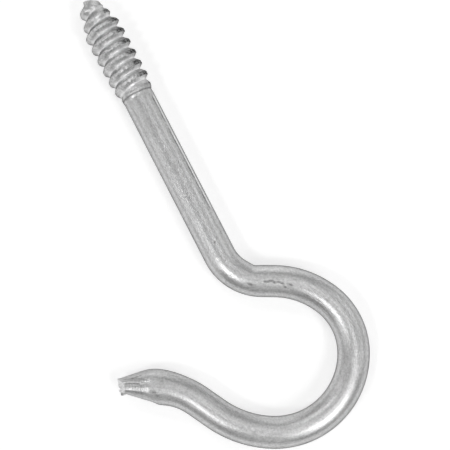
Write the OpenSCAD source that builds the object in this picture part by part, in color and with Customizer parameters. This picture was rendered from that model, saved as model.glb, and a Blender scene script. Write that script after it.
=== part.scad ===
// Screw hook: one length of round steel wire, bent to an open hook, with a rolled
// wood-screw thread on its straight end and a pinched, roughly cut tip on the other.
// It lies flat. X runs along the shank towards the screw point, Z is up, and the
// origin is on the floor under the middle of its outline.

/* [Wire] */
// Diameter of the round wire
wire_d = 8.0; // [6:0.1:9.5]

/* [Shank and thread] */
// Plain shank between the thread's shoulder and the start of the neck bend
shank_len = 44.6; // [20:0.1:90]
// Thread from its shoulder to the end of the point
thread_len = 29.05; // [18:0.05:60]
// Advance of the thread in one turn
thread_pitch = 3.16; // [2.4:0.02:4]
// Diameter over the crests
crest_d = 10.05; // [9.6:0.05:11]
// Root diameter at the shoulder
shoulder_root_d = 7.9; // [5:0.05:7.9]
// Root diameter where the point begins
point_root_d = 7.2; // [4.5:0.05:7.6]
// Length of the tapered point
point_len = 7.8; // [5:0.1:12]
// Diameter of the blunt end of the point
point_end_d = 3.4; // [2:0.1:4.5]
// Slant of the blunt end from square, in degrees
point_end_slant = 24; // [0:1:35]
// How far the point's end stands off the thread's axis, away from the bow's mouth
point_shift = 0.25; // [0:0.05:0.5]
// Length over which the thread rises from the shank to its full height
thread_rise_len = 7; // [4:0.1:10]
// How far the threaded end leans from the line of the shank, in degrees
thread_lean = 0.8; // [0:0.1:3]

/* [Neck] */
// Radius of the bend that sets the bow off to the side, on the wire's centreline
neck_r = 11.8; // [9:0.1:18]
// Turn of the neck, in degrees
neck_turn = 61.8; // [40:0.1:75]
// Depth of the crease pressed into the inside of the neck
crease_depth = 0.3; // [0:0.05:0.6]
// Straight wire between the neck and the bow
neck_run = 3.6; // [1:0.1:10]

/* [Bow] */
// Radius of the bow's shoulder, next to the neck
shoulder_r = 21.4; // [17:0.1:30]
// Turn of the shoulder, in degrees
shoulder_turn = 37.7; // [25:0.1:50]
// Radius of the bow's side
side_r = 16.6; // [13:0.1:24]
// Turn of the side, in degrees
side_turn = 50.3; // [35:0.1:60]
// Radius of the seat, the far end that carries the load
seat_r = 19.5; // [15:0.1:28]
// Turn of the seat, in degrees
seat_turn = 92.7; // [75:0.1:105]
// Radius of the heel, where the bow opens out
heel_r = 25.8; // [20:0.1:36]
// Turn of the heel, in degrees
heel_turn = 32.9; // [20:0.1:45]

/* [Lip and tip] */
// Straight wire between the bow and the lip
lip_run = 5.2; // [2:0.1:15]
// Radius of the lip, which turns back outwards
lip_r = 20; // [14:0.1:30]
// Turn of the lip, in degrees
lip_turn = 36; // [15:0.5:50]
// Length of the straight tip
tip_len = 7.6; // [5:0.1:15]
// Distance of the pinched flats from the wire's centre at the cut end
tip_end_r = 2.0; // [1.2:0.05:2.8]
// How much wider the wire is squeezed at each side where the pinch begins
tip_swell = 0.42; // [0:0.02:0.6]
// Slant of the cut end across the hook, in degrees
tip_cut_slant = 11.8; // [0:0.1:20]
// Lean of the cut end's two nipped faces from square, in degrees
tip_cut_lean = 35; // [15:1:45]
// Radius of the spur of metal that the cut left on the side away from the shank
spur_r = 0.5; // [0.3:0.05:0.7]

/* [Hidden] */

wire_r = wire_d / 2;
round_sides = 32;

// Runs and bends in order from the thread: straight length, bend radius, and turn,
// which is positive to the left when seen from above.
WIRE = [
    [shank_len, neck_r, neck_turn],
    [neck_run, shoulder_r, -shoulder_turn],
    [0, side_r, -side_turn],
    [0, seat_r, -seat_turn],
    [0, heel_r, -heel_turn],
    [lip_run, lip_r, lip_turn]
];

// Flats of the pinched tip: direction round the wire from the top, towards the
// shank's side, and slope against the wire, both in degrees, then the distance from the
// wire's centre at the cut end, as a share of tip_end_r.
FAR_FLAT = [-90, 17.8, 0.56];
TIP_FLATS = [
    [62, 15.6, 0.975],
    [38, 16, 1],
    [-2, 18, 1.025],
    [-48, 16.5, 1],
    FAR_FLAT,
    [-130, 18, 0.95],
    [180, 19, 1],
    [118, 16, 0.975]
];

// Where the wire is widest before the cut end, and how far the widening spreads.
tip_swell_back = 9.2;
tip_swell_reach = 4.2;

// Where the crease lies from the start of the neck, and how far it spreads.
crease_place = 10.2;
crease_reach = 1.3;

// The spur's direction from the top, away from the shank, its length, and how deep it
// sits in the flat beside it.
spur_turn = 97;
spur_len = 2.9;
spur_sink = 0.05;

// A place on the wire is its x, its y, its heading in degrees, and the length of wire
// gone since the thread's shoulder.
function after_run(place, run) =
    [place.x + run * cos(place.z), place.y + run * sin(place.z), place.z, place[3] + run];
function bend_centre(place, radius, turn) =
    let (side = sign(turn) * radius)
    [place.x - side * sin(place.z), place.y + side * cos(place.z)];
function after_bend(place, radius, turn) =
    let (
        centre = bend_centre(place, radius, turn),
        side = sign(turn) * radius,
        heading = place.z + turn,
        gone = place[3] + radius * abs(turn) * PI / 180
    )
    [centre.x + side * sin(heading), centre.y - side * cos(heading), heading, gone];
function places(start, i = 0) =
    i == len(WIRE) ? [start] :
    let (straight = after_run(start, WIRE[i][0]))
    concat([start], places(after_bend(straight, WIRE[i][1], WIRE[i][2]), i + 1));

PLACES = places([shank_len, 0, 180, 0]);
TIP_START = PLACES[len(WIRE)];
TIP_END = after_run(TIP_START, tip_len);

// Places of the section rings along the wire, close together in the bends and the tip.
bend_step = 6;
tip_rings = 4;
ring_places = concat(
    [PLACES[0]],
    [
        for (i = [0 : len(WIRE) - 1])
            let (
                bend_start = after_run(PLACES[i], WIRE[i][0]),
                steps = ceil(abs(WIRE[i][2]) / bend_step)
            )
            for (k = [WIRE[i][0] > 0 ? 0 : 1 : steps])
                k == 0 ? bend_start : after_bend(bend_start, WIRE[i][1], WIRE[i][2] * k / steps)
    ],
    [for (k = [1 : tip_rings]) after_run(TIP_START, tip_len * k / tip_rings)],
    [after_run(TIP_END, wire_r)]
);

// Edges of the outline, for the origin.
spur_out = tip_end_r * FAR_FLAT[2] + spur_r - spur_sink;
far_x = min([for (p = ring_places) p.x]) - wire_r;
low_y = min([for (p = ring_places) p.y]) - wire_r;
lip_y = TIP_END.y + (spur_out + spur_r) * (cos(TIP_END.z) - tan(tip_cut_slant) * sin(TIP_END.z));
point_x = shank_len + thread_len + point_end_d / 2 * tan(point_end_slant);

// Thread form, in shares of a turn: half the crest's width, the width of each flank, the
// strands that the ridge is drawn with, and how far past the shoulder the first crest
// crosses the underside.
crest_half = 0.085;
shank_flank = 0.34;
point_flank = 0.46;
strand_phases = [-0.42, -0.30, -0.19, -0.085, 0.085, 0.20, 0.33, 0.45];
crest_lead = -0.085;

// The thread is wound as one strip. It starts inside the shank, and past either end it
// closes in towards a hub over the spare part of a turn.
strands = len(strand_phases);
turn_steps = 32;
thread_rise_start = -1.2;
end_ridge = 0.1;
buried_len = 2.4;
spare_turn = 0.66;
closing_turns = 2.4;
hub_r = 0.4;
first_turns = ceil(turn_steps * (buried_len / thread_pitch + spare_turn)) / turn_steps;
last_turns = ceil(turn_steps * (thread_len / thread_pitch + spare_turn)) / turn_steps;

function ease(t) = (1 - cos(180 * min(1, max(0, t)))) / 2;
function mix(a, b, t) = a + (b - a) * t;
function point_share(z) = max(0, (z - thread_len + point_len) / point_len);
function crest_r_at(z) =
    let (shank_crest_r = wire_r - end_ridge, end_crest_r = point_end_d / 2 + end_ridge)
    mix(mix(shank_crest_r, crest_d / 2, ease((z - thread_rise_start) / thread_rise_len)),
        end_crest_r, point_share(z));
function root_r_at(z) =
    mix(mix(shoulder_root_d, point_root_d, min(1, max(0, z / (thread_len - point_len)))) / 2,
        point_end_d / 2, point_share(z));
function ridge(phase) =
    1 - ease((abs(phase) - crest_half) / (phase > 0 ? point_flank : shank_flank));

// The vertex of the thread on strand number k, so many steps along it.
function thread_point(k, step) =
    let (
        phase = strand_phases[k],
        wound = step / turn_steps - first_turns,
        free_z = (wound + phase + crest_lead) * thread_pitch,
        z = min(thread_len, max(-buried_len, free_z)),
        beyond = abs(free_z - z) / (closing_turns * thread_pitch),
        radius = mix(root_r_at(z), crest_r_at(z), ridge(phase)) * (1 - beyond),
        angle = 360 * wound,
        slant = tan(point_end_slant) * ease((z - thread_len + point_len / 2) / (point_len / 2)),
        side = radius * sin(angle)
    )
    [radius * cos(angle), side - point_shift * point_share(z), z + slant * side];

module screw_thread() {
    last = turn_steps * (first_turns + last_turns);
    vertices = [
        for (step = [0 : last])
            for (k = [0 : strands - 1])
                thread_point(k, step)
    ];
    at = function (k, step) (k < strands ? step : step + turn_steps) * strands + k % strands;
    walls = [
        for (step = [0 : last - 1])
            for (k = [0 : strands - 1])
                if (k < strands - 1 || step + 1 + turn_steps <= last)
                    for (face = [
                        [at(k, step), at(k + 1, step + 1), at(k, step + 1)],
                        [at(k, step), at(k + 1, step), at(k + 1, step + 1)]
                    ]) face
    ];
    low_rim = concat(
        [for (k = [1 : strands - 1]) at(k, 0)],
        [for (step = [turn_steps : -1 : 0]) at(0, step)]
    );
    high_rim = concat(
        [for (k = [strands - 2 : -1 : 0]) at(k, last)],
        [for (step = [last - turn_steps : last]) at(strands - 1, step)]
    );
    first_angle = -360 * first_turns;
    last_angle = 360 * last_turns;
    hub_side = hub_r * cos(last_angle);
    hub_top = thread_len + hub_side * tan(point_end_slant);
    hubs = [
        [hub_r * sin(first_angle), -hub_r * cos(first_angle), -buried_len],
        [-hub_r * sin(last_angle), hub_side - point_shift, hub_top]
    ];
    hub_faces = [
        for (end = [0, 1])
            let (rim = end == 0 ? low_rim : high_rim)
            for (i = [0 : len(rim) - 1])
                [len(vertices) + end, rim[(i + 1) % len(rim)], rim[i]]
    ];
    polyhedron(points = concat(vertices, hubs), faces = concat(walls, hub_faces));
}

// A rounded rise of height 1 at a distance of 0, which fades out over the reach.
function hump(distance, reach) = exp(-pow(distance / reach, 2));

// One corner of the wire's section, at an angle from the top towards the left.
function wire_point(place, angle) =
    let (
        sideways = sin(angle),
        swell = tip_swell * hump(TIP_END[3] - place[3] - tip_swell_back, tip_swell_reach),
        crease = crease_depth * hump(place[3] - shank_len - crease_place, crease_reach),
        radius = wire_r + swell * pow(sideways, 2) - crease * pow(max(0, sideways), 2),
        side = radius * sideways
    )
    [place.x - side * sin(place.z), place.y + side * cos(place.z), radius * cos(angle)];

module bent_wire() {
    rings = len(ring_places);
    corners = [
        for (place = ring_places)
            for (j = [0 : round_sides - 1])
                wire_point(place, 360 * j / round_sides)
    ];
    walls = [
        for (i = [0 : rings - 2])
            for (j = [0 : round_sides - 1])
                let (
                    next = (j + 1) % round_sides,
                    near = i * round_sides,
                    far = near + round_sides
                )
                for (face = [
                    [near + j, far + next, far + j],
                    [near + j, near + next, far + next]
                ]) face
    ];
    polyhedron(
        points = corners,
        faces = concat(
            walls,
            [[for (j = [round_sides - 1 : -1 : 0]) j]],
            [[for (j = [0 : round_sides - 1]) (rings - 1) * round_sides + j]]
        )
    );
}

module at_tip() {
    translate([TIP_END.x, TIP_END.y, 0])
        rotate([0, 0, TIP_END.z])
            children();
}

// The slanting flats that squeeze the tip down.
cutter = 2 * wire_d;
module tip_flats() {
    at_tip()
        for (flat = TIP_FLATS)
            rotate([flat[0], 0, 0])
                translate([0, 0, tip_end_r * flat[2]])
                    rotate([0, flat[1], 0])
                        translate([wire_r - cutter, -cutter / 2, 0])
                            cube(cutter);
}

module tip_spur() {
    at_tip()
        rotate([-spur_turn, 0, 0])
            translate([-spur_len, 0, spur_out])
                rotate([0, 90, 0])
                    cylinder(h = spur_len, r1 = spur_r / 2, r2 = spur_r, $fn = 12);
}

// The two faces of the end, which the cutters left as a roof with its ridge across.
module tip_cuts() {
    at_tip()
        for (lean = [-tip_cut_lean, tip_cut_lean])
            rotate([0, lean, tip_cut_slant])
                translate([0, -cutter / 2, -cutter / 2])
                    cube(cutter);
}

// Underside crests in turn from the shoulder, and the tilt at which each would touch
// the floor together with the far side of the bow.
crest_tilts = [
    for (turn_no = [0 : floor((thread_len - point_len) / thread_pitch)])
        let (z = (turn_no + crest_lead) * thread_pitch)
        atan((crest_r_at(z) - wire_r) / (shank_len + z - far_x - wire_r))
];
lying_tilt = max(crest_tilts);

module screw_hook() {
    color("silver")
        translate([-(far_x + point_x) / 2, -(low_y + lip_y) / 2, wire_r])
            translate([far_x + wire_r, 0, 0])
                rotate([0, -lying_tilt, 0])
                    translate([-far_x - wire_r, 0, 0])
                        union() {
                            difference() {
                                union() {
                                    difference() {
                                        bent_wire();
                                        tip_flats();
                                    }
                                    tip_spur();
                                }
                                tip_cuts();
                            }
                            translate([shank_len, 0, 0])
                                rotate([0, 90, thread_lean])
                                    screw_thread();
                        }
}

screw_hook();
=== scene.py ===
"""A zinc-plated screw hook of round steel wire, lying flat on a pale floor under soft studio light.

Shape sizes are in millimetres and degrees, in the wire's own frame: the neck bend starts at the
origin, the shank runs along +X to the screw point, and the wire's centreline is at height 0.
The camera, the lamps and the floor are in metres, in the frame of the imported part.
"""

import math

import bpy
import numpy as np
from mathutils import Matrix, Vector
from mathutils import noise


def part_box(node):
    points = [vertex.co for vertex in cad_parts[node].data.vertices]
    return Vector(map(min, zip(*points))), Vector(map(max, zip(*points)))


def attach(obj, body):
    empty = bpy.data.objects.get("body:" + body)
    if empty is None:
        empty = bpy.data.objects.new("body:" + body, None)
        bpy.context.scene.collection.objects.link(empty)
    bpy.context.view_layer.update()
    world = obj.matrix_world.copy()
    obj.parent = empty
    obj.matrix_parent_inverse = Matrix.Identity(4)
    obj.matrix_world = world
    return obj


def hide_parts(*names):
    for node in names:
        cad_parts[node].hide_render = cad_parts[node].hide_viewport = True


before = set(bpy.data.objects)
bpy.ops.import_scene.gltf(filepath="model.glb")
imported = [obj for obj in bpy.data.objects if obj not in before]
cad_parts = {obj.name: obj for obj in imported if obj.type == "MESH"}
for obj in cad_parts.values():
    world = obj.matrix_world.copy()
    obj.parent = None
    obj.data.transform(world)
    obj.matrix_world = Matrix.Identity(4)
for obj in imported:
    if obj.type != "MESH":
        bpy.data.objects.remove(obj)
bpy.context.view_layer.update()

NODE = "screw_hook"
MM = 0.001

# Wire
wire_r = 4.0
shank_len = 44.6

# Runs and bends in order from the shank: straight length, bend radius, and turn, positive to the left.
NECK = (shank_len, 11.8, 61.8)
SHOULDER = (3.6, 21.4, -37.7)
SIDE = (0.0, 16.6, -50.3)
SEAT = (0.0, 19.5, -92.7)
HEEL = (0.0, 25.8, -32.9)
LIP = (5.2, 20.0, 36.0)
BENDS = (NECK, SHOULDER, SIDE, SEAT, HEEL, LIP)
tip_len = 7.6

# Crease on the inside of the neck
crease_place = 10.2
crease_reach = 1.5
crease_depth = 0.3
crease_sharpness = 1.3

# Seam that the rolls left along the shank; waves have height, radians per millimetre and start
SEAM_START, SEAM_END = 0.4, 34.0
seam_angle = 52.0
seam_wander = 1.0
SEAM_WAVES = ((1.0, 0.37, 0.0), (0.6, 1.3, 1.0))
seam_wave_total = sum(row[0] for row in SEAM_WAVES)
seam_fade_in = 1.5
seam_fade_out = 2.0
seam_mean_strength = 0.85
SEAM_STRENGTH_WAVES = ((0.15, 0.9, 0.4),)
seam_wall = 0.1
seam_slope = 0.32
seam_depth = 0.25
# Painted shade on the seam's wall and a painted highlight past its slope
seam_painted_shade_width = 0.3
seam_painted_highlight = 1.0
seam_painted_highlight_width = 0.22
SEAM_GAPS = ((9.2, 1.4), (28.3, 0.7))
seam_gap_share = 0.9

# Fold line round the wire where the thread starts, with painted shade along it
fold_line_z = 1.05
fold_line_width = 0.13
fold_line_depth = 0.08
fold_line_painted_shade = 0.6

# Thread, measured along the shank from the shoulder to the point
thread_len = 28.3
thread_pitch = 3.16
crest_r = 5.02
shoulder_root_r = 3.95
point_root_r = 3.6
point_len = 7.8
point_end_r = 1.75
point_end_slant = 24.0
point_end_rough = 0.08
point_shift = 0.75
last_lump_z = 25.9
last_lump_height = 1.0
last_lump_before = 2.8
last_lump_after = 1.2
thread_rise_start = -1.2
thread_rise_len = 7.0
root_rise_len = 2.4
ridge_rise_len = 0.6
crest_start_drop = 0.1
crest_end_rise = 0.1
thread_finish_start = 1.0
thread_finish_len = 2.0
top_crest_z = 1.31
thread_lean = 0.8
crest_half = 0.085
shank_flank = 0.34
point_flank = 0.46
flank_round = 0.3

# Fine lines along the thread's flanks: depth, how many in a pitch, how they drift and where they fade
flank_grain = 0.02
flank_grain_lines = 11.0
FLANK_GRAIN_DRIFT = ((1.5, 5.3, 0.0), (0.9, 13.1, 1.0))
flank_grain_beat = 9.7
flank_grain_slant = 8.0
flank_grain_edge = 0.12
flank_grain_start = 2.0

# Band of painted shade along each crest on the wire's left, with a hollow there too: degrees from the top,
# and shares of the pitch
dark_crest_from = 14.0
dark_crest_full = 44.0
dark_crest_to = 130.0
dark_crest_fade = 30.0
PAINTED_SHADE_BAND = (-0.2, 0.22)
painted_shade_band_edge = 0.06
crest_painted_shade = 0.95
crest_painted_shade_grain = 0.15
crest_hollow = 0.1
crest_hollow_place = 0.01
crest_hollow_width = 0.11

# Pinched tip: direction of each flat from the top to the shank's side, slope, and distance at the end
TIP_FLATS = (
    (62.0, 15.6, 1.95),
    (38.0, 16.0, 2.0),
    (14.0, 16.5, 2.0),
    (-12.0, 17.5, 2.0),
    (-46.0, 16.5, 1.9),
    (-90.0, 17.8, 1.12),
    (-130.0, 18.0, 1.9),
    (180.0, 19.0, 2.0),
    (118.0, 16.0, 1.95),
)
tip_swell = 0.42
tip_swell_place = 9.2
tip_swell_reach = 4.2
tip_edge_sharpness = 34
pinched_len = 19.0
least_facing = 0.05

# Cut end: slant of the nipped ridge across the wire, and lean, rounding and torn grain of its faces
tip_cut_slant = 11.8
tip_cut_lean = 35.0
tip_cut_round = 0.35
tip_cut_rough = 0.38

# Spur of metal left at the cut on the side away from the shank
burr_angle = 97.0
burr_reach = 17.0
burr_height = 0.75
burr_len = 1.9
burr_fade = 1.3

# Folds pressed along the tip: angle, turn per millimetre, start and end back from the tip, and height
FOLDS = (
    (-26.0, 2.9, 1.0, 6.4, 0.16),
    (-21.0, 2.9, 1.2, 6.0, -0.12),
    (-52.0, 5.0, 1.2, 7.4, -0.14),
    (-44.0, -3.0, 3.0, 6.4, -0.10),
    (25.0, 0.2, 1.2, 6.8, -0.12),
)
fold_width = 0.15
fold_fade = 1.2
# Painted shade in the sunken folds and a painted highlight on the raised ones
fold_painted_shade = 0.5
fold_painted_highlight = 0.5

# Marks of the pliers across the tip's top flat: distances back from the end, and the form of each
PLIER_MARKS = (3.2, 3.9, 4.7, 5.3, 6.1, 6.8)
plier_angle = 12.0
plier_width = 0.2
plier_depth = 0.12
plier_narrowing = 12

# Pits and scratches: distance gone along the wire, degrees from the top, half length, half width, depth
PITS = (
    (41.6, 1.0, 0.35, 0.3, 0.06),
    (55.0, -24.0, 0.9, 0.35, 0.05),
    (58.4, -8.0, 0.8, 0.35, 0.09),
    (59.7, -5.5, 0.9, 0.3, 0.05),
    (60.5, -10.0, 0.5, 0.45, 0.10),
    (61.6, -9.0, 0.9, 0.25, 0.05),
    (62.5, -12.5, 0.6, 0.3, 0.09),
    (63.4, -26.0, 0.5, 0.3, 0.07),
    (64.6, -13.0, 0.9, 0.3, 0.05),
    (69.7, -34.0, 0.9, 0.15, 0.02),
    (73.2, -28.0, 1.1, 0.15, 0.02),
    (149.8, -31.0, 0.8, 0.3, 0.02),
    (151.0, -19.0, 0.9, 0.35, 0.02),
    (151.6, 34.0, 0.6, 0.35, 0.04),
    (152.5, 22.0, 0.9, 0.3, 0.05),
)
pit_slant = 0.35
pit_steepness = 1.5
pit_mark = 0.7
full_mark_depth = 0.05

# Grain of the two broken ends: share, fineness and place in the noise, and how steeply it starts
POINT_GRAINS = ((1.0, 0.9, 3.0),)
point_rim_power = 4
TORN_GRAINS = ((1.0, 1.7, 7.0), (0.5, 4.1, 11.0))
cut_rim_power = 6

# Sides of the wire, with closer ones along the seam and the tip's folds
plain_sides = 104
seam_sides = 24
SEAM_REACH = (-4.0, 8.0)
fold_sides = 24
FOLD_REACH = (-50.0, -8.0)
side_gap = 1.0

# Gaps between rings: in the thread, and up to each distance gone along the bent wire
thread_ring_gap = 0.1
RING_GAPS = (
    (3.0, 0.16),
    (41.0, 0.6),
    (42.2, 0.2),
    (54.0, 0.6),
    (65.5, 0.22),
    (147.0, 0.6),
    (153.7, 0.3),
    (162.0, 0.16),
)
cap_rings = 10
rim_passes = 30
rim_step = 0.6
sharp_angle = 38.0


def ease(t):
    """Smooth step from 0 to 1."""
    return (1 - np.cos(np.pi * np.clip(t, 0, 1))) / 2


def mix(a, b, t):
    """From a to b as t goes from 0 to 1."""
    return a + (b - a) * t


def hump(away, width):
    """Smooth hump of height 1 with its top where away is 0."""
    return np.exp(-(away / width) ** 2)


def waves(place, rows):
    """Sum of sine waves, each of a height, a turn per length and a start."""
    return sum(height * np.sin(place * turn + start) for height, turn, start in rows)


def signed(angle):
    """An angle from the top as -pi to pi, positive on the wire's left."""
    return np.where(angle > np.pi, angle - 2 * np.pi, angle)


def ring_angles():
    """Angles round the wire from the top to the left, closest together along the seam and the folds."""
    plain = np.arange(plain_sides) * 360 / plain_sides
    keep = np.ones_like(plain, bool)
    lines = []
    for middle, reach, sides in ((seam_angle, SEAM_REACH, seam_sides), (360, FOLD_REACH, fold_sides)):
        near, far = middle + reach[0], middle + reach[1]
        keep = keep & ((plain <= near - side_gap) | (plain >= far + side_gap))
        lines.append(np.linspace(near, far, sides))
    return np.radians(np.sort(np.concatenate([plain[keep]] + lines)))


def place_at(gone):
    """Place on the wire's centreline at a distance from the shoulder: distance, x, y and heading."""
    x, y, heading, left = shank_len, 0.0, math.pi, gone
    for run, radius, turn in BENDS:
        step = min(left, run)
        x, y, left = x + step * math.cos(heading), y + step * math.sin(heading), left - step
        if left <= 0:
            return gone, x, y, heading
        arc = radius * abs(math.radians(turn))
        share = min(1.0, left / arc)
        side = math.copysign(radius, turn)
        cx, cy = x - side * math.sin(heading), y + side * math.cos(heading)
        heading += math.radians(turn) * share
        x, y, left = cx + side * math.sin(heading), cy - side * math.cos(heading), left - arc * share
        if share < 1:
            return gone, x, y, heading
    return gone, x + left * math.cos(heading), y + left * math.sin(heading), heading


def wire_length():
    """Length of the centreline from the shoulder to the tip's end."""
    return tip_len + sum(run + radius * abs(math.radians(turn)) for run, radius, turn in BENDS)


def wire_places():
    """Places along the bent wire from the shoulder to the tip's end."""
    stops, start, length = [0.0], 0.0, wire_length()
    for end, gap in RING_GAPS:
        end = min(end, length)
        steps = math.ceil((end - start) / gap)
        stops.extend(start + (end - start) * (k + 1) / steps for k in range(steps))
        start = end
    return np.array([place_at(gone) for gone in stops])


def thread_place(z, angle):
    """The nearest turn of the thread, and how far from its crest a place is as a share of the pitch."""
    turn = (z - top_crest_z) / thread_pitch - angle / (2 * np.pi)
    winding = np.round(turn)
    return winding, turn - winding


def point_share(z):
    """How far down the tapered point a place is."""
    return np.clip((z - thread_len + point_len) / point_len, 0, 1)


def thread_limits(z, angle):
    """Radius in the root and on the crest, with the larger last turn on one side."""
    share = point_share(z)
    root = mix(shoulder_root_r, point_root_r, np.clip(z / (thread_len - point_len), 0, 1))
    root = mix(root, point_end_r, share)
    root = mix(wire_r, root, ease((z - thread_rise_start) / root_rise_len))
    crest = mix(wire_r - crest_start_drop, crest_r, ease((z - thread_rise_start) / thread_rise_len))
    crest = mix(crest, point_end_r + crest_end_rise, share)
    reach = np.where(z < last_lump_z, last_lump_before, last_lump_after)
    lump = hump(z - last_lump_z, reach) * np.clip(-np.sin(angle), 0, 1) ** 2
    return root, np.maximum(crest, root) + last_lump_height * lump


def thread_ridge(z, phase):
    """Height on the ridge, 0 in the root and 1 on the crest."""
    flank = np.where(phase > 0, point_flank, shank_flank)
    fall = np.clip((np.abs(phase) - crest_half) / flank, 0, 1)
    ridge = 1 - mix(fall, ease(fall), flank_round)
    return ridge * np.clip((z - thread_rise_start) / ridge_rise_len, 0, 1)


def flank_lines(winding, phase, angle):
    """Fine lines along the flanks, between -1 and 1."""
    around = winding + angle / (2 * np.pi)
    drift = waves(around, FLANK_GRAIN_DRIFT)
    beat = np.sin(around * flank_grain_beat + phase * flank_grain_slant)
    return np.sin(2 * np.pi * flank_grain_lines * phase + drift) * beat


def dark_side(angle):
    """How far a place round the wire lies within the stretch where the crests are hollowed and get painted
    shade.
    """
    turned = np.degrees(signed(angle))
    side = ease((turned - dark_crest_from) / (dark_crest_full - dark_crest_from))
    return side * ease((dark_crest_to - turned) / dark_crest_fade)


def thread_radius(z, angle):
    """Radius of the threaded end, z from the shoulder to the point and angle from the top to the left.
    Returns it with the height on the ridge, -1 in the root and 1 on the crest, and its painted shade:
    in a band along the crests on the wire's left, and in the fold line where the thread starts."""
    winding, phase = thread_place(z, angle)
    share = point_share(z)
    root, crest = thread_limits(z, angle)
    ridge = thread_ridge(z, phase)
    lines = flank_lines(winding, phase, angle)
    side = dark_side(angle)
    threaded = ease((z - thread_finish_start) / thread_finish_len)
    radius = mix(root, crest, ridge) - fold_line_depth * hump(z - fold_line_z, fold_line_width)
    hollow = hump(phase - crest_hollow_place, crest_hollow_width)
    radius = radius - crest_hollow * side * threaded * hollow
    grain = flank_grain * lines * ease((0.5 - np.abs(phase)) / flank_grain_edge)
    grain = grain * ease((z - flank_grain_start) / thread_finish_len) * (1 - share)
    # Painted shade in a band along the crests on the wire's left
    band = ease((phase - PAINTED_SHADE_BAND[0]) / painted_shade_band_edge) * ease((PAINTED_SHADE_BAND[1] - phase) / painted_shade_band_edge)
    dark = crest_painted_shade * side * band * threaded * (1 - share ** 2)
    dark = dark * (1 - crest_painted_shade_grain + crest_painted_shade_grain * lines)
    # Painted shade along the fold line
    dark = np.maximum(dark, fold_line_painted_shade * hump(z - fold_line_z, 2 * fold_line_width))
    return radius + grain, (2 * ridge - 1) * threaded * (1 - share), dark


def tip_radius(back, angle):
    """Radius of the pinched tip at a distance back from its end."""
    swell = tip_swell * hump(back - tip_swell_place, tip_swell_reach) * np.sin(angle) ** 2
    powers = (wire_r + swell) ** -tip_edge_sharpness
    for direction, slope, end in TIP_FLATS:
        facing = np.cos(angle + math.radians(direction))
        flat = (end + back * math.tan(math.radians(slope))) / np.maximum(facing, least_facing)
        powers = powers + np.where(facing > least_facing, flat ** -tip_edge_sharpness, 0)
    radius = powers ** (-1 / tip_edge_sharpness)
    fold, _ = folds(back, angle, radius)
    turn = np.degrees(angle) - burr_angle
    burr = burr_height * ease((burr_len - back) / burr_fade) * hump(turn, burr_reach)
    return radius + fold + burr


def folds(back, angle, radius):
    """Height of the folds along the tip, with painted shade in each sunken fold and a painted highlight on
    each raised one.
    """
    height, mark = 0, 0
    for start, twist, near, far, rise in FOLDS:
        side = radius * np.sin(angle - np.radians(start + twist * (back - near)))
        fade = ease((far - back) / fold_fade) * ease((back - near + fold_fade / 2) / fold_fade)
        line = fade * hump(side, fold_width) * (np.cos(angle) > 0)
        height = height + rise * line
        # Painted shade in sunken folds and a painted highlight on raised ones
        mark = mark + line * (fold_painted_shade if rise < 0 else -fold_painted_highlight)
    return height, mark


def point_rings(angle):
    """Rings of the threaded end, from its blunt point back to the shoulder."""
    steps = math.ceil(thread_len / thread_ring_gap)
    z = np.linspace(thread_len, 0, steps, endpoint=False)[:, None] * np.ones_like(angle)
    radius, ridge, dark = thread_radius(z, angle)
    half = point_len / 2
    slant = math.tan(math.radians(point_end_slant)) * ease((z - thread_len + half) / half)
    across = -radius * np.sin(angle)
    up = radius * np.cos(angle)
    along = z + slant * across
    across = across - point_shift * point_share(z)
    lean = math.radians(thread_lean)
    x = shank_len + along * math.cos(lean) - across * math.sin(lean)
    y = along * math.sin(lean) + across * math.cos(lean)
    return np.stack([x, y, up], 2), -z, ridge, dark


def cut_back(left, up):
    """How far back the cut lies at a place to the left of the wire's middle and above it."""
    height = np.sqrt(up ** 2 + tip_cut_round ** 2) - tip_cut_round
    return height * math.tan(math.radians(tip_cut_lean)) + left * math.tan(math.radians(tip_cut_slant))


def cut_rim(angle):
    """How far back the cut lies round the tip's rim."""
    back = np.zeros_like(angle)
    for _ in range(rim_passes):
        radius = tip_radius(np.maximum(back, 0), angle)
        back = mix(back, cut_back(radius * np.sin(angle), radius * np.cos(angle)), rim_step)
    return back


def wire_rings(angle):
    """Rings of the bent wire and the pinched tip, each place with its distance gone, ridge, and the
    darkness of its pits together with the painted shade and highlights of the seam and the folds.
    """
    places = wire_places()
    gone, x, y, heading = (places[:, k][:, None] for k in range(4))
    length = gone[-1, 0]
    stretch = np.clip((gone - (length - tip_len)) / tip_len, 0, 1)
    shift = -cut_rim(angle) * stretch
    back = np.maximum(length - gone - shift, 0)
    radius = np.where(back < pinched_len, tip_radius(back, angle), wire_r)
    groove, seam_painted_light = seam(gone, angle)
    radius = radius - crease(gone, angle) - groove
    _, fold_painted_light = folds(back, angle, radius)
    pit, pit_dirt = pits(gone, angle)
    radius = radius - pit - plier_marks(back, angle)
    shoulder, ridge, _ = thread_radius(-gone, angle)
    near = gone < -thread_rise_start
    radius = np.where(near, shoulder, radius)
    side = radius * np.sin(angle)
    px = x - side * np.sin(heading) + shift * np.cos(heading)
    py = y + side * np.cos(heading) + shift * np.sin(heading)
    pz = radius * np.cos(angle)
    # Dark pits, with the painted shade and highlights of the seam and the folds
    dirt_and_painted_light = pit_dirt + seam_painted_light + fold_painted_light
    return np.stack([px, py, pz], 2), gone * np.ones_like(angle), np.where(near, ridge, 0), dirt_and_painted_light


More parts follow.
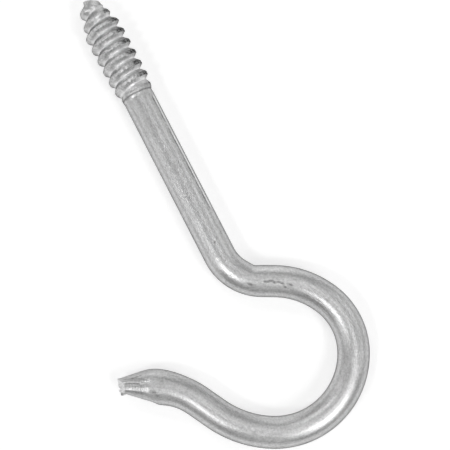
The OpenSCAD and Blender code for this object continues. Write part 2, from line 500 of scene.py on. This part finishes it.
def seam(gone, angle):
    """Depth of the seam, a steep wall and a gentler slope, with painted shade on the wall and a painted
    highlight past the slope.
    """
    wander = seam_wander * waves(gone, SEAM_WAVES) / seam_wave_total
    side = wire_r * (angle - math.radians(seam_angle) - np.radians(wander))
    wall = np.clip(1 + side / seam_wall, 0, 1) * (side <= 0)
    slope = np.clip(1 - side / seam_slope, 0, 1) * (side > 0)
    strength = ease((gone - SEAM_START) / seam_fade_in) * ease((SEAM_END - gone) / seam_fade_out)
    strength = strength * (seam_mean_strength + waves(gone, SEAM_STRENGTH_WAVES))
    for place, reach in SEAM_GAPS:
        strength = strength * (1 - seam_gap_share * hump(gone - place, reach))
    # Painted shade on the wall and a painted highlight past the slope
    dirt_and_painted_light = hump(side + seam_wall / 2, seam_painted_shade_width)
    painted_highlight = hump(side - seam_slope - seam_painted_highlight_width / 2, seam_painted_highlight_width)
    return seam_depth * strength * (wall + slope), strength * (dirt_and_painted_light - seam_painted_highlight * painted_highlight)


def pits(gone, angle):
    """Depth of the pits, and how dark each place is."""
    depth = np.zeros(np.broadcast(gone, angle).shape)
    dirt_and_painted_light = np.zeros_like(depth)
    for place, direction, long, wide, deep in PITS:
        side = wire_r * (signed(angle) - math.radians(direction))
        along = gone - place + pit_slant * side
        near = np.exp(-((along / long) ** 2 + (side / wide) ** 2) ** pit_steepness)
        depth = depth + deep * near
        dirt_and_painted_light = np.maximum(dirt_and_painted_light, pit_mark * near * min(1.0, deep / full_mark_depth))
    return depth, dirt_and_painted_light


def plier_marks(back, angle):
    """Depth of the marks across the tip's top flat."""
    depth = sum(hump(back - place, plier_width) for place in PLIER_MARKS)
    facing = np.clip(np.cos(angle - math.radians(plier_angle)), 0, 1)
    return plier_depth * depth * facing ** plier_narrowing


def crease(gone, angle):
    """Depth of the crease on the inside of the neck."""
    place = (gone - shank_len - crease_place) / crease_reach
    inner = np.clip(np.cos(angle - np.pi / 2), 0, 1) ** 2
    return crease_depth * np.exp(-np.abs(place) ** crease_sharpness) * inner


def rough_heights(points, grains):
    """Smooth uneven heights at each point, added up from grains of different fineness."""
    total = 0
    for share, fineness, start in grains:
        heights = [noise.noise(Vector(p * fineness + start)) for p in points]
        total = total + share * np.array(heights)
    return total


def point_cap(ring):
    """Rings that close the blunt screw point, and their middle."""
    middle = ring.mean(0)
    rows = []
    for share in np.linspace(1, 0, cap_rings, endpoint=False)[1:]:
        row = middle + (ring - middle) * share
        row[:, 0] += point_end_rough * rough_heights(row, POINT_GRAINS) * (1 - share ** point_rim_power)
        rows.append(row)
    return np.array(rows), middle


def tip_cap(place, angle):
    """Rings that close the nipped end with its torn faces, and their middle."""
    _, x, y, heading = place
    rim_back = cut_rim(angle)[0]
    radius = tip_radius(np.maximum(rim_back, 0), angle)[0]
    left, up = radius * np.sin(angle[0]), radius * np.cos(angle[0])
    rows = []
    for share in list(np.linspace(1, 0, cap_rings, endpoint=False)[1:]) + [0.0]:
        side, height = left * share + left.mean() * (1 - share), up * share
        torn = rough_heights(np.stack([side, height, height * 0], 1), TORN_GRAINS)
        away = tip_cut_rough * torn * (1 - share ** cut_rim_power) - cut_back(side, height)
        rows.append(np.stack([
            x - side * math.sin(heading) + away * math.cos(heading),
            y + side * math.cos(heading) + away * math.sin(heading),
            height,
        ], 1))
    return np.array(rows[:-1]), rows[-1][0]


def ring_faces(rows, count):
    """Four-sided faces between rings, and three-sided ones from each end's last ring to its middle."""
    index = np.arange(rows * count).reshape(rows, count)
    near, far = index[:-1], index[1:]
    quads = np.stack([near, np.roll(near, -1, 1), np.roll(far, -1, 1), far], 2).reshape(-1, 4)
    fans = []
    for j in range(count):
        k = (j + 1) % count
        fans.append((rows * count, index[0, k], index[0, j]))
        fans.append((rows * count + 1, index[-1, j], index[-1, k]))
    return quads, fans


def at_points(first, rings, last, middles):
    """Values in the order of the mesh's points: first cap, rings, last cap and the caps' middles."""
    return np.concatenate([first.ravel(), rings.ravel(), last.ravel(), middles])


def build_mesh():
    """The whole hook as one closed mesh in the wire's own frame, with the values that its finish needs."""
    angle = ring_angles()[None, :]
    screw, wire = point_rings(angle), wire_rings(angle)
    rings, gone, ridge, dirt_and_painted_light = (np.concatenate(pair) for pair in zip(screw, wire))
    start, start_middle = point_cap(rings[0])
    end, end_middle = tip_cap(wire_places()[-1], angle)
    grid = np.concatenate([start[::-1], rings, end])
    points = np.concatenate([grid.reshape(-1, 3), [start_middle], [end_middle]])
    quads, fans = ring_faces(len(grid), angle.size)
    plain = np.ones_like(gone)
    cap = np.ones((len(start), angle.size))
    inwards = np.linspace(1, 0, cap_rings, endpoint=False)[1:, None] * cap
    ends = (gone[0, 0], gone[-1, 0])
    data = {
        "gone": at_points(cap * ends[0], gone, cap * ends[1], ends),
        "around": at_points(cap * angle, plain * angle, cap * angle, (0, 0)),
        "spread": at_points(inwards[::-1], plain, inwards, (0, 0)),
        "ridge": at_points(cap * 0, ridge, cap * 0, (0, 0)),
        "dirt_and_painted_light": at_points(cap * 0, dirt_and_painted_light, cap * 0, (0, 0)),
        "cut": at_points(cap * 0, plain * 0, cap, (0, 1)),
    }
    return points, quads, fans, data


def add_attribute(mesh, name, kind, values):
    """Gives each point of the mesh a value that its material can read."""
    attribute = mesh.attributes.new(name, kind, "POINT")
    key = "vector" if kind == "FLOAT_VECTOR" else "value"
    attribute.data.foreach_set(key, np.asarray(values, np.float32).ravel())


def lay_down(points):
    """Tilts the hook so that it rests on a crest and on the bow's far side, then sets it in the CAD box.
    The bow's two outer sides, which are plain wire, give its place."""
    far = points[:, 0].min() + wire_r
    threaded = points[:, 0] > shank_len
    tilt = np.max(np.arctan2(-points[threaded, 2] - wire_r, points[threaded, 0] - far))
    turned = points.copy()
    turned[:, 0] = far + (points[:, 0] - far) * math.cos(tilt) - points[:, 2] * math.sin(tilt)
    turned[:, 2] = (points[:, 0] - far) * math.sin(tilt) + points[:, 2] * math.cos(tilt)
    turned *= MM
    low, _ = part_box(NODE)
    return turned - turned.min(0) + np.array(low)


def make_hook():
    """The hook as an object, its mesh with the values that the finish reads."""
    points, quads, fans, data = build_mesh()
    mesh = bpy.data.meshes.new("hook_wire")
    mesh.from_pydata(lay_down(points).tolist(), [], quads.tolist() + fans)
    reach = wire_r * data["spread"]
    unrolled = np.stack([reach * np.cos(data["around"]), reach * np.sin(data["around"]), data["gone"]], 1)
    add_attribute(mesh, "unrolled", "FLOAT_VECTOR", unrolled)
    for name in ("ridge", "cut", "dirt_and_painted_light"):
        add_attribute(mesh, name, "FLOAT", data[name])
    mesh.validate()
    mesh.set_sharp_from_angle(angle=math.radians(sharp_angle))
    hook = bpy.data.objects.new("hook_wire", mesh)
    bpy.context.scene.collection.objects.link(hook)
    return hook


# Noises of the zinc finish: scale, detail, roughness and distortion, and how two are drawn out
MOTTLE = (0.45, 3.0, 0.6, 0.4)
STREAK = (1.3, 3.0, 0.6)
STREAK_STRETCH = (1.0, 1.0, 0.12)
GRAIN = (1.9, 3.0, 0.75)
SCRATCH = (1.1, 2.0, 0.5)
SCRATCH_STRETCH = (4.0, 4.0, 0.25)
SPECKLE = (1.6, 2.0, 0.6)
noise_spread = 3.2

# Shade of the zinc, at grazing angles too, and what the noises, the dark pits with the painted shade and
# highlights, the painted light in the thread's roots and the cut end's painted reflection add
zinc_shade = 0.64
zinc_edge = 0.0
mottle_shade = 0.06
streak_shade = 0.045
grain_shade = 0.32
crest_grain_shade = 0.35
# Painted light that makes the thread's roots paler
root_painted_light = 0.36
# How much the dark pits and the painted shade and highlights change the shade
dirt_and_painted_light_strength = 0.85
# Cut end's bare torn steel, speckled, and paler with a painted reflection
cut_shade_and_painted_reflection = 0.4
cut_speckle = 0.7
SHADE_LIMITS = (0.05, 0.95)

# Roughness of the zinc, and what changes it
zinc_roughness = 0.375
mottle_roughness = 0.04
grain_roughness = 0.02
root_roughness = 0.1
cut_roughness = 0.1
dirt_and_painted_light_roughness = 0.2
ROUGHNESS_LIMITS = (0.15, 0.8)

# Bumps of the finish: height in metres, and the share of each noise
bump_height = 0.00006
bump_mottle = 0.04
bump_grain = 0.3
bump_scratch = 0.05
bump_crest = 0.8


class Nodes:
    """Short ways to add and join the shader nodes of one material."""

    def __init__(self, tree):
        self.tree = tree

    def join(self, value, socket):
        """Joins another node's output to a socket, or sets the socket to a number."""
        if isinstance(value, bpy.types.NodeSocket):
            self.tree.links.new(value, socket)
        else:
            socket.default_value = value

    def maths(self, operation, a, b):
        node = self.tree.nodes.new("ShaderNodeMath")
        node.operation = operation
        self.join(a, node.inputs[0])
        self.join(b, node.inputs[1])
        return node.outputs[0]

    def attribute(self, name, output):
        node = self.tree.nodes.new("ShaderNodeAttribute")
        node.attribute_name = name
        return node.outputs[output]

    def scaled(self, vector, factors):
        node = self.tree.nodes.new("ShaderNodeVectorMath")
        node.operation = "MULTIPLY"
        self.tree.links.new(vector, node.inputs[0])
        node.inputs[1].default_value = factors
        return node.outputs[0]

    def noise(self, vector, scale, detail=2.0, roughness=0.5, distortion=0.0):
        """Noise between about -1 and 1."""
        node = self.tree.nodes.new("ShaderNodeTexNoise")
        self.tree.links.new(vector, node.inputs["Vector"])
        node.inputs["Scale"].default_value = scale
        node.inputs["Detail"].default_value = detail
        node.inputs["Roughness"].default_value = roughness
        node.inputs["Distortion"].default_value = distortion
        away = self.maths("SUBTRACT", node.outputs[0], 0.5)
        return self.maths("MULTIPLY", away, noise_spread)

    def limited(self, value, least, most):
        return self.maths("MINIMUM", self.maths("MAXIMUM", value, least), most)

    def total(self, start, terms):
        """A start value with factor times value added for each term."""
        for factor, value in terms:
            start = self.maths("ADD", self.maths("MULTIPLY", value, factor), start)
        return start

    def grey(self, value):
        node = self.tree.nodes.new("ShaderNodeCombineColor")
        for socket in node.inputs:
            if socket.enabled:
                self.tree.links.new(value, socket)
        return node.outputs[0]


def zinc():
    """Satin zinc plating: mottled, streaked along the wire, darker in pits and with painted shade, paler
    with painted highlights and painted light in the thread's roots, and torn and paler with a painted
    reflection at the cut end.
    """
    material = bpy.data.materials.new("zinc_plate")
    material.use_nodes = True
    nodes = Nodes(material.node_tree)
    shader = material.node_tree.nodes["Principled BSDF"]
    unrolled = nodes.attribute("unrolled", "Vector")
    ridge = nodes.attribute("ridge", "Fac")
    dirt_and_painted_light = nodes.attribute("dirt_and_painted_light", "Fac")
    cut = nodes.attribute("cut", "Fac")
    mottle = nodes.noise(unrolled, *MOTTLE)
    streak = nodes.noise(nodes.scaled(unrolled, STREAK_STRETCH), *STREAK)
    grain = nodes.noise(unrolled, *GRAIN)
    scratch = nodes.noise(nodes.scaled(unrolled, SCRATCH_STRETCH), *SCRATCH)
    speckle = nodes.noise(unrolled, *SPECKLE)
    crest_grain = nodes.maths("MULTIPLY", grain, nodes.maths("MAXIMUM", ridge, 0.0))
    root = nodes.maths("MINIMUM", ridge, 0.0)
    # Bare torn steel at the cut end, speckled, and paler with a painted reflection
    torn = nodes.maths("MULTIPLY", cut, nodes.total(cut_shade_and_painted_reflection, ((cut_speckle, speckle),)))
    shade = nodes.total(zinc_shade, (
        (mottle_shade * zinc_shade, mottle),
        (streak_shade * zinc_shade, streak),
        (grain_shade * zinc_shade, grain),
        (crest_grain_shade * zinc_shade, crest_grain),
        # Dark pits, and painted shade and highlights along the seam, the folds and the crests
        (-dirt_and_painted_light_strength * zinc_shade, dirt_and_painted_light),
        (1.0, torn),
        # Painted light in the thread's roots
        (-root_painted_light, root),
    ))
    rough = nodes.total(zinc_roughness, (
        (mottle_roughness, mottle),
        (grain_roughness, grain),
        (-root_roughness, root),
        (cut_roughness, cut),
        (dirt_and_painted_light_roughness, dirt_and_painted_light),
    ))
    height = nodes.total(0.0, (
        (bump_mottle, mottle),
        (bump_grain, grain),
        (bump_scratch, scratch),
        (bump_crest, crest_grain),
    ))
    nodes.join(nodes.grey(nodes.limited(shade, *SHADE_LIMITS)), shader.inputs["Base Color"])
    nodes.join(nodes.limited(rough, *ROUGHNESS_LIMITS), shader.inputs["Roughness"])
    shader.inputs["Metallic"].default_value = 1.0
    shader.inputs["Specular Tint"].default_value = (zinc_edge, zinc_edge, zinc_edge, 1)
    bump = material.node_tree.nodes.new("ShaderNodeBump")
    bump.inputs["Strength"].default_value = 1.0
    bump.inputs["Distance"].default_value = bump_height
    nodes.join(height, bump.inputs["Height"])
    nodes.join(bump.outputs[0], shader.inputs["Normal"])
    return material


# Floor
floor_size = 3.0
floor_shade = 0.62
floor_roughness = 0.9
floor_glow = 0.52


def make_floor():
    """A pale matt floor that the camera sees lit from within, so that it stays near white."""
    bpy.ops.mesh.primitive_plane_add(size=floor_size, location=(0, 0, 0))
    floor = bpy.context.object
    floor.name = "floor"
    material = bpy.data.materials.new("pale_floor")
    material.use_nodes = True
    nodes = Nodes(material.node_tree)
    shader = material.node_tree.nodes["Principled BSDF"]
    shader.inputs["Base Color"].default_value = (floor_shade, floor_shade, floor_shade, 1)
    shader.inputs["Roughness"].default_value = floor_roughness
    shader.inputs["Specular IOR Level"].default_value = 0.0
    shader.inputs["Emission Color"].default_value = (1, 1, 1, 1)
    path = material.node_tree.nodes.new("ShaderNodeLightPath")
    seen = path.outputs["Is Camera Ray"]
    for name in ("Is Glossy Ray", "Is Transmission Ray"):
        seen = nodes.maths("MAXIMUM", seen, path.outputs[name])
    nodes.join(nodes.maths("MULTIPLY", seen, floor_glow), shader.inputs["Emission Strength"])
    floor.data.materials.append(material)
    return floor


# Camera over the hook: the point it looks at, its distance, and its lean from straight above
CAMERA_AIM = Vector((-0.005425, -0.0112, 0.0045))
camera_distance = 0.3747
camera_lean = 9.0
picture_up = Vector((0.8905, -0.455, 0))
camera_lens = 120
camera_sensor = 36


def make_camera():
    """The camera, which leans from straight above and is turned to the picture's way up."""
    data = bpy.data.cameras.new("camera")
    data.lens = camera_lens
    data.sensor_width = camera_sensor
    camera = bpy.data.objects.new("camera", data)
    bpy.context.scene.collection.objects.link(camera)
    up = picture_up.normalized()
    lean = math.radians(camera_lean)
    back = Vector((0, 0, 1)) * math.cos(lean) - up * math.sin(lean)
    camera.location = CAMERA_AIM + back * camera_distance
    right = up.cross(back).normalized()
    true_up = back.cross(right)
    turn = Matrix((right, true_up, back)).transposed()
    camera.rotation_euler = turn.to_euler()
    bpy.context.scene.camera = camera


# Soft lamps: compass direction in the picture from its right, angle from straight above, size and power
LAMPS = {
    "key": (-38.0, 36.0, 0.2, 1.3),
    "low": (225.0, 34.0, 0.15, 1.9),
    "wide": (-50.0, 46.0, 0.3, 1.5),
    "right": (35.0, 60.0, 0.4, 0.8),
    "side": (0.0, 62.0, 0.4, 0.6),
    "over": (0.0, 12.0, 0.25, 0.69),
    "left": (200.0, 62.0, 0.4, 0.82),
    "upper": (120.0, 35.0, 0.2, 0.96),
    "near": (60.0, 30.0, 0.2, 0.38),
    "low_side": (-90.0, 62.0, 0.4, 0.33),
    "far": (90.0, 80.0, 0.6, 1.3),
    "corner": (150.0, 62.0, 0.4, 0.77),
}
lamp_distance = 0.9
lamp_level = 0.73
world_shade = 0.21


def make_lamp(name, compass, lean, size, power):
    """A round soft lamp that points at the hook."""
    data = bpy.data.lights.new(name, "AREA")
    data.shape = "DISK"
    data.size = size
    data.energy = power * lamp_level
    lamp = bpy.data.objects.new(name, data)
    bpy.context.scene.collection.objects.link(lamp)
    up = picture_up.normalized()
    right = Vector((up.y, -up.x, 0))
    flat = right * math.cos(math.radians(compass)) + up * math.sin(math.radians(compass))
    way = flat * math.sin(math.radians(lean)) + Vector((0, 0, 1)) * math.cos(math.radians(lean))
    lamp.location = way * lamp_distance
    lamp.rotation_euler = way.to_track_quat("Z", "Y").to_euler()


def make_world():
    """Even grey light from all round."""
    world = bpy.data.worlds.new("studio")
    world.use_nodes = True
    shader = world.node_tree.nodes["Background"]
    shader.inputs["Color"].default_value = (world_shade, world_shade, world_shade, 1)
    shader.inputs["Strength"].default_value = 1.0
    bpy.context.scene.world = world


make_camera()
make_world()
for lamp_name, lamp_row in LAMPS.items():
    make_lamp(lamp_name, *lamp_row)
make_floor()

hook = make_hook()
hook.data.materials.append(zinc())
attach(hook, "root")
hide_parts(NODE)

bpy.context.scene.view_settings.view_transform = "Standard"
